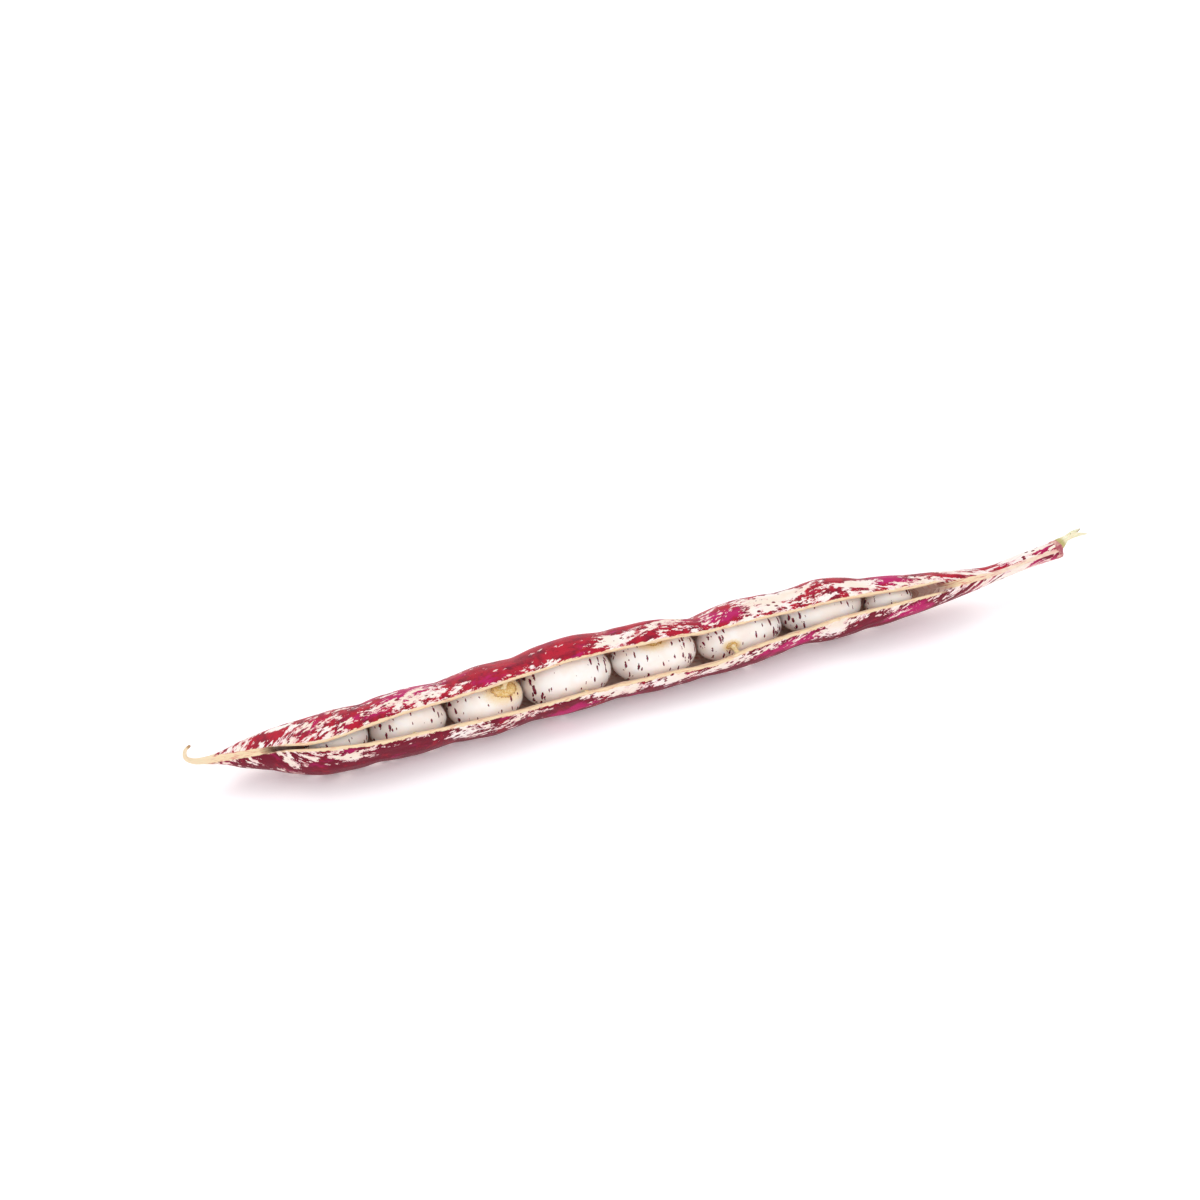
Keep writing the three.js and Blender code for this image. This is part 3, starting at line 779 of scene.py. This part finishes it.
def make_pod():
    """The pod's skin as one closed mesh, its cut neck closed by shrinking rings."""
    cut = pod_rings[-1].mean(axis=0)
    rings = np.concatenate([pod_rings, shrunk_rings(pod_rings, cut, CUT_SHARES)])
    values = {
        key: np.concatenate([value, np.repeat(value[-1:], len(CUT_SHARES), axis=0)])
        for key, value in pod_values.items()
    }
    start = pod_axes(np.array([0.0]))
    tip = start["middle"][0] - start["forward"][0] * BEAK_TIP
    mesh = ring_mesh("pod_skin", rings, tip, cut, values)
    return piece("pod_skin", mesh, pod_material, "pod")


make_pod()

# %% [markdown]
# ## Seeds
# A fresh borlotti seed is a blunt kidney with a glossy cream coat and burgundy dashes that
# crowd toward its ends. Its scar, where the stalk held it, is an ochre oval in a faint
# yellow stain. The shape is a profile blunter than an ellipse turned about a slightly
# bent line. The dashes are scattered points stretched across the seed, since they follow its
# round ends, and a point's own random number decides whether it gets one and how large.

# %% Seed surface
SEED_FULLNESS = 2.4
SEED_BEND = 0.3
SEED_DENT = 0.3
SEED_DENT_REACH = 0.3
PROUD_SCAR = 1.4
SEED_ROWS = 84
SEED_SIDES = 96


def seed_surface(row, seed):
    """One seed in the pod: rings whose radius follows the fullness curve, bent toward the scar,
    dented at it, and slightly uneven. Also the seed's own coordinates and how far each
    point is from the scar's middle, in mm."""
    along, half_length, half_thick, half_deep, rise, roll, scar_along, scar_turn, scar_size = row
    t = -np.cos(np.pi * np.arange(1, SEED_ROWS) / SEED_ROWS)[:, None]
    angle = (2 * np.pi * np.arange(SEED_SIDES) / SEED_SIDES)[None]
    swell = np.sqrt(1 - np.abs(t) ** SEED_FULLNESS)
    scar_angle = np.pi / 2 - math.radians(scar_turn)
    toward = np.maximum(np.cos(angle - scar_angle), 0)
    bend = SEED_BEND * t * t
    x = np.broadcast_to(t * half_length, (t.shape[0], SEED_SIDES))
    dent = SEED_DENT * toward**4 * hump(t, scar_along / half_length, SEED_DENT_REACH)
    y = (half_thick * swell - dent) * np.cos(angle) + bend * math.cos(scar_angle)
    z = (half_deep * swell - dent) * np.sin(angle) + bend * math.sin(scar_angle)
    uneven = 1 + 0.012 * waves(x, 6 * angle / math.pi, 4, 9, seed)
    y, z = y * uneven, z * uneven
    off = np.arctan2(np.sin(angle - scar_angle), np.cos(angle - scar_angle)) * half_thick
    scar = np.hypot((x - scar_along) / 1.5, off * swell) / scar_size
    raised = 1 + 0.05 * fade(scar, 1.1, 0.7) * (scar_size > PROUD_SCAR)
    y, z = y * raised, z * raised
    turn = math.radians(roll)
    axes = pod_axes(np.array([along]))
    p = y * math.cos(turn) - z * math.sin(turn)
    q = y * math.sin(turn) + z * math.cos(turn) + rise
    flat = place(axes, p.reshape(1, -1), q.reshape(1, -1), x.reshape(1, -1))
    ends = np.array([[-half_length, half_length]])
    tips = place(axes, np.zeros((1, 2)), np.full((1, 2), rise), ends)
    shift = 40.0 * seed
    values = {
        "seed_x": x + shift,
        "seed_y": y,
        "seed_z": z,
        "end": np.broadcast_to(np.abs(t), x.shape),
        "scar": scar,
    }
    return flat.reshape(*x.shape, 3), tips[0], values


def seed_finish():
    finish = Finish(
        "seed_coat",
        Roughness=0.24,
        Specular_IOR_Level=0.45,
        Subsurface_Weight=0.3,
        Subsurface_Radius=(1.0, 0.55, 0.4),
        Subsurface_Scale=0.0015,
        Coat_Weight=0.15,
        Coat_Roughness=0.15,
    )
    x, y, z = finish.read("seed_x"), finish.read("seed_y"), finish.read("seed_z")
    end, scar = finish.read("end"), finish.read("scar")
    own = finish.vector(x, y, z)
    flat_y = finish.sum("MULTIPLY", y, 0.66)
    flat_z = finish.sum("MULTIPLY", z, 0.66)
    crossways = finish.vector(finish.sum("MULTIPLY", x, 1.9), flat_y, flat_z)
    sway = finish.node("ShaderNodeTexNoise", [("Vector", own), ("Scale", 0.8), ("Detail", 3.0)])
    swayed = finish.vector_sum(crossways, sway.outputs["Color"])
    distance, pick = finish.cells(swayed, 1.0)
    chance = finish.node("ShaderNodeSeparateColor", [(0, pick)]).outputs[0]
    crowd = finish.fade(end, 0.15, 0.85)
    size = finish.sum("MULTIPLY_ADD", crowd, 0.55, chance)
    size = finish.sum("MULTIPLY_ADD", size, 0.74, -0.44)
    size = finish.sum("MINIMUM", size, 0.38)
    fray = finish.noise(own, 3.2, 3, 0.6)
    reach = finish.sum("MULTIPLY_ADD", finish.sum("SUBTRACT", fray, 0.5), 0.45, size)
    dashes = finish.fade(finish.sum("SUBTRACT", distance, reach), 0.03, -0.02)
    dashes = finish.sum("MULTIPLY", dashes, finish.fade(size, 0.0, 0.03))
    cloud = finish.noise(own, 0.35, 3, 0.5)
    coat = finish.mix(finish.fade(cloud, 0.35, 0.7), colour(253, 247, 243), colour(249, 236, 227))
    stain = finish.sum("MULTIPLY_ADD", finish.sum("SUBTRACT", fray, 0.5), 0.9, scar)
    coat = finish.mix(finish.fade(stain, 2.3, 0.9), coat, colour(240, 212, 160))
    burgundy = finish.mix(finish.fade(fray, 0.35, 0.65), colour(84, 6, 30), colour(132, 24, 58))
    coat = finish.mix(dashes, coat, burgundy)
    pad = finish.mix(finish.fade(fray, 0.4, 0.62), colour(222, 178, 96), colour(240, 214, 158))
    coat = finish.mix(finish.fade(stain, 1.08, 0.98), coat, colour(176, 116, 60))
    coat = finish.mix(finish.fade(stain, 0.98, 0.88), coat, pad)
    return finish.wear(Base_Color=coat, Normal=finish.bump(fray, 0.00003, 0.5))


def make_seeds():
    """All the seeds, each in place of its solid; gives back the middle of each one's scar."""
    material = seed_finish()
    scars = []
    for number, row in enumerate(SEEDS, start=1):
        rings, tips, values = seed_surface(row, number)
        scars.append(rings.reshape(-1, 3)[np.argmin(values["scar"])])
        mesh = ring_mesh(f"seed_{number}", rings, tips[0], tips[1], values)
        piece(f"seed_{number}", mesh, material, f"bean_{number}")
    return scars


scar_middles = make_seeds()

# %% [markdown]
# ## Seed stalks
# Each seed hangs from one rim by a short fleshy stalk, by turns from the far rim and the near
# one. A stalk is a ring of points carried along a bent line from just inside the rim to the
# scar, thick where it leaves the wall and flared like a foot where it holds the seed.

# %% Stalks
STALK_RINGS = 20
STALK_SIDES = 24
STALK_ROOT = 0.55
STALK_WAIST = 0.34
STALK_FOOT = 0.7
STALK_SUNK = 0.1
STALK_ARCH = 0.25


def stalk_surface(row, scar):
    """Rings along the parabola from a root inside the lip, over a point nearer the split, to the
    scar. The half width falls from the root to the waist and grows to the foot, and the
    half thickness is half of that at the foot."""
    along, scar_along, scar_turn = row[0], row[6], row[7]
    axes = pod_axes(np.array([along + scar_along]))
    half_split = float(follow(SPLIT, np.array([along + scar_along]))[0, 0]) / 2
    side = 1 if scar_turn > 0 else -1
    depth = float(axes["half_depth"][0, 0]) - WALL
    width = float(axes["half_width"][0, 0]) - WALL
    inner_p = half_split + 0.35
    inner_q = depth * math.sqrt(1 - (inner_p / width) ** 2)
    root = place(axes, np.array([[side * inner_p]]), np.array([[inner_q + 0.2]]))[0, 0]
    foot = scar + STALK_SUNK * unit(axes["middle"][0] - scar)
    over = (root + foot) / 2 + STALK_ARCH * axes["open"][0]
    t = np.linspace(0, 1, STALK_RINGS)[:, None]
    path = root * (1 - t) ** 2 + 2 * over * t * (1 - t) + foot * t * t
    forward = unit(np.gradient(path, axis=0))
    wide = unit(axes["forward"] - forward * (forward @ axes["forward"][0])[:, None])
    thick = np.cross(forward, wide)
    half = STALK_WAIST + (STALK_ROOT - STALK_WAIST) * (1 - t) ** 3 + (STALK_FOOT - STALK_WAIST) * t**4
    angle = (2 * np.pi * np.arange(STALK_SIDES) / STALK_SIDES)[None]
    across = (half * np.cos(angle))[..., None] * wide[:, None]
    through = (half * (1 - 0.5 * t) * np.sin(angle))[..., None] * thick[:, None]
    rings = path[:, None] + across + through
    return rings, (root, foot), {"reach": np.broadcast_to(t, rings.shape[:2])}


def stalk_finish():
    finish = Finish("seed_stalk", Roughness=0.4, Subsurface_Weight=0.3, Subsurface_Scale=0.001)
    cloud = finish.noise(finish.node("ShaderNodeTexCoord").outputs["Object"], 1400, 3, 0.6)
    flesh = finish.mix(finish.fade(cloud, 0.4, 0.6), colour(240, 224, 184), colour(224, 196, 140))
    aged = finish.sum("MULTIPLY_ADD", cloud, 0.5, finish.read("reach"))
    whole = finish.mix(finish.fade(aged, 1.0, 1.3), flesh, colour(214, 164, 90))
    return finish.wear(Base_Color=whole, Normal=finish.bump(cloud, 0.00005, 0.6))


def make_stalks():
    """One stalk to each seed; they are too fine to have solids of their own."""
    material = stalk_finish()
    for number, (row, scar) in enumerate(zip(SEEDS, scar_middles), start=1):
        rings, tips, values = stalk_surface(row, scar)
        mesh = ring_mesh(f"stalk_{number}", rings, tips[0], tips[1], values)
        piece(f"stalk_{number}", mesh, material, None)


make_stalks()

# %% [markdown]
# ## Calyx and stem
# The neck ends in the lobed scar of the flower's calyx, and from it comes the stub of the
# stem, dried to a flat straw-coloured strip that has split in two at its tip. Both are small,
# so they are plain rings with their lobes and fork in the formula. The solids stand a little
# apart; here the collar starts inside the neck and the stub inside the collar, so no gap shows.

# %% Calyx and stem
CALYX_RADIUS = 1.72
CALYX_LOBES = 5
CALYX_LOBE_DEPTH = 0.12
CALYX_SQUASH = 0.9
CALYX_SIDES = 96
CALYX_ROOT = 0.7
CALYX_FACE = 0.55
GAP = 0.3
STEM_PATH = np.array([
    [-1.3, 80.6, 0.7, 6.15],
    [0, 81.75, 0.95, 6.6],
    [1.6, 83.2, 1.35, 7.1],
    [3.4, 84.9, 1.75, 7.3],
    [5.6, 87.0, 2.1, 7.15],
])
STEM_HALVES = np.array([[0, 1.0, 0.85], [1.6, 0.62, 0.5], [3.6, 0.85, 0.42], [5.6, 0.95, 0.22]])
STEM_FORK = 1.9
STEM_RINGS = 72
STEM_SIDES = 64


def calyx_surface():
    """Rings of the collar: an oval with five shallow lobes that grows out of the neck, its edge
    rounded and its outer face sunk in the middle."""
    share = np.array([0.25, 0.6, 0.86, 0.95, 1.0, 1.0, 0.98, 0.9, 0.78, 0.6, 0.3])[:, None]
    inside_neck = [-CALYX_ROOT, -CALYX_ROOT, -CALYX_ROOT, -0.55, -0.22]
    out = np.array([*inside_neck, 0.3, 0.66, 0.74, 0.7, 0.6, 0.56])[:, None]
    angle = (2 * np.pi * np.arange(CALYX_SIDES) / CALYX_SIDES)[None]
    lobes = CALYX_LOBE_DEPTH * np.cos(CALYX_LOBES * angle) + 0.03 * waves(4 * angle, share, 0.8, 2, 51)
    radius = share * (CALYX_RADIUS + lobes)
    p = CALYX_SQUASH * radius * np.cos(angle)
    q = radius * np.sin(angle) / CALYX_SQUASH
    s = np.broadcast_to(GAP + out, p.shape)
    axes = pod_axes(np.array([NECK_END]))
    flat = place(axes, p.reshape(1, -1), q.reshape(1, -1), s.reshape(1, -1)).reshape(*p.shape, 3)
    ends = np.array([[GAP - CALYX_ROOT, GAP + CALYX_FACE]])
    tips = place(axes, np.zeros((1, 2)), np.zeros((1, 2)), ends)[0]
    return flat, tips, {"edge": np.broadcast_to(share, p.shape)}


def stem_surface():
    """Rings of the stub: an oval carried along its path from inside the collar, each point
    falling back toward the root by up to the fork's depth where it lies near the middle of the
    strip."""
    root, length = STEM_PATH[0, 0], STEM_PATH[-1, 0]
    along = np.linspace(root, length, STEM_RINGS)[:, None]
    angle = (2 * np.pi * np.arange(STEM_SIDES) / STEM_SIDES)[None]
    back = STEM_FORK * (along / length) ** 3 * (1 - np.abs(np.cos(angle)))
    at = (along - back).ravel()
    path = follow(STEM_PATH, at) + TO_MIDDLE
    forward = unit(follow(STEM_PATH, at + 0.2) - follow(STEM_PATH, at - 0.2))
    side = unit(np.cross([0, 0, 1], forward))
    top = np.cross(forward, side)
    halves = follow(STEM_HALVES, along[:, 0])
    ribs = 1 + 0.05 * waves(along * 0.3, 3 * angle, 0.7, 2, 61)
    wide = (halves[:, :1] * np.cos(angle) * ribs).reshape(-1, 1)
    thick = (halves[:, 1:] * np.sin(angle) * ribs).reshape(-1, 1)
    rings = (path + side * wide + top * thick).reshape(STEM_RINGS, STEM_SIDES, 3)
    notch = follow(STEM_PATH, np.array([length - STEM_FORK]))[0] + TO_MIDDLE
    values = {"along": np.broadcast_to(along, back.shape), "around": np.broadcast_to(angle, back.shape)}
    return rings, (rings[0].mean(axis=0), notch), values


def calyx_finish():
    finish = Finish("calyx_edge", Roughness=0.6, Subsurface_Weight=0.05, Subsurface_Scale=0.001)
    edge = finish.read("edge")
    place_here = finish.node("ShaderNodeTexCoord").outputs["Object"]
    mottle = finish.noise(place_here, 900, 4, 0.6)
    dry = finish.mix(finish.fade(mottle, 0.4, 0.6), colour(168, 78, 92), colour(222, 170, 158))
    whole = finish.mix(finish.fade(edge, 0.96, 0.86), dry, colour(228, 206, 164))
    return finish.wear(Base_Color=whole, Normal=finish.bump(mottle, 0.0001, 0.6))


def stem_finish():
    finish = Finish("dry_stem", Roughness=0.55, Subsurface_Weight=0.1, Subsurface_Scale=0.001)
    along, around = finish.read("along"), finish.read("around")
    fibre = finish.noise(finish.vector(finish.sum("MULTIPLY", along, 0.25), around), 4.0, 5, 0.6)
    straw = finish.mix(finish.fade(fibre, 0.4, 0.65), colour(246, 240, 212), colour(222, 214, 166))
    green = finish.mix(finish.fade(along, 1.2, 0.2), straw, colour(188, 176, 112))
    dark = finish.cells(finish.vector(along, around), 0.7)[0]
    whole = finish.mix(finish.fade(dark, 0.12, 0.06), green, colour(92, 76, 58))
    return finish.wear(Base_Color=whole, Normal=finish.bump(fibre, 0.0001, 0.8))


def make_calyx_and_stem():
    """The collar and the stub, each in place of its solid."""
    rings, tips, values = calyx_surface()
    mesh = ring_mesh("calyx_collar", rings, tips[0], tips[1], values)
    piece("calyx_collar", mesh, calyx_finish(), "calyx")
    rings, tips, values = stem_surface()
    mesh = ring_mesh("stem_stub", rings, tips[0], tips[1], values)
    piece("stem_stub", mesh, stem_finish(), "stem")


make_calyx_and_stem()

# %% [markdown]
# ## Floor and light
# A white table under a white sky gives a bright picture with only soft, slightly violet
# shade under the pod; the table also glows a little, which keeps that shade pale. One large
# lamp behind and above gives the skin its direction: the far valve is bright, and the near
# one turns dark toward the table, where its flames also carry painted shade. A weaker one in front
# shines into the split, onto the seeds.

# %% Stage
# half the table's side, in metres
TABLE_HALF = 3.0


def make_floor():
    """A large matte sheet at the height the pod lies on, glowing faintly like a light table."""
    mesh = bpy.data.meshes.new("table")
    turns = [(-1, -1), (1, -1), (1, 1), (-1, 1)]
    corners = [(TABLE_HALF * x, TABLE_HALF * y, 0) for x, y in turns]
    mesh.from_pydata(corners, [], [(0, 1, 2, 3)])
    finish = Finish("table_white", Roughness=0.9, Specular_IOR_Level=0.1)
    finish.shader.inputs["Base Color"].default_value = (0.92, 0.895, 0.915, 1)
    finish.shader.inputs["Emission Color"].default_value = (1.0, 0.95, 0.98, 1)
    finish.shader.inputs["Emission Strength"].default_value = 0.2
    mesh.materials.append(finish.material)
    table = bpy.data.objects.new("table", mesh)
    bpy.context.scene.collection.objects.link(table)


def make_lamp(name, place_at, size, power):
    """A square area lamp that faces the pod."""
    lamp = bpy.data.lights.new(name, "AREA")
    lamp.size = size
    lamp.energy = power
    thing = bpy.data.objects.new(name, lamp)
    thing.location = place_at
    thing.rotation_mode = "QUATERNION"
    thing.rotation_quaternion = (-Vector(place_at)).to_track_quat("-Z", "Y")
    bpy.context.scene.collection.objects.link(thing)


def make_sky(low, high):
    """White light from all round, stronger overhead than at the horizon."""
    world = bpy.data.worlds.new("sky")
    world.use_nodes = True
    tree = world.node_tree
    direction = tree.nodes.new("ShaderNodeTexCoord")
    parts = tree.nodes.new("ShaderNodeSeparateXYZ")
    strength = tree.nodes.new("ShaderNodeMapRange")
    strength.inputs["To Min"].default_value = low
    strength.inputs["To Max"].default_value = high
    tree.links.new(direction.outputs["Generated"], parts.inputs[0])
    tree.links.new(parts.outputs[2], strength.inputs["Value"])
    tree.links.new(strength.outputs["Result"], tree.nodes["Background"].inputs["Strength"])
    tree.nodes["Background"].inputs["Color"].default_value = (1, 1, 1, 1)
    bpy.context.scene.world = world


make_floor()
make_lamp("window", (-0.2, 0.3, 0.8), 0.5, 1.3)
make_lamp("fill", (0.05, -0.55, 0.55), 0.7, 0.8)
make_sky(0.82, 0.97)
bpy.context.scene.view_settings.view_transform = "Standard"
print("stage set")
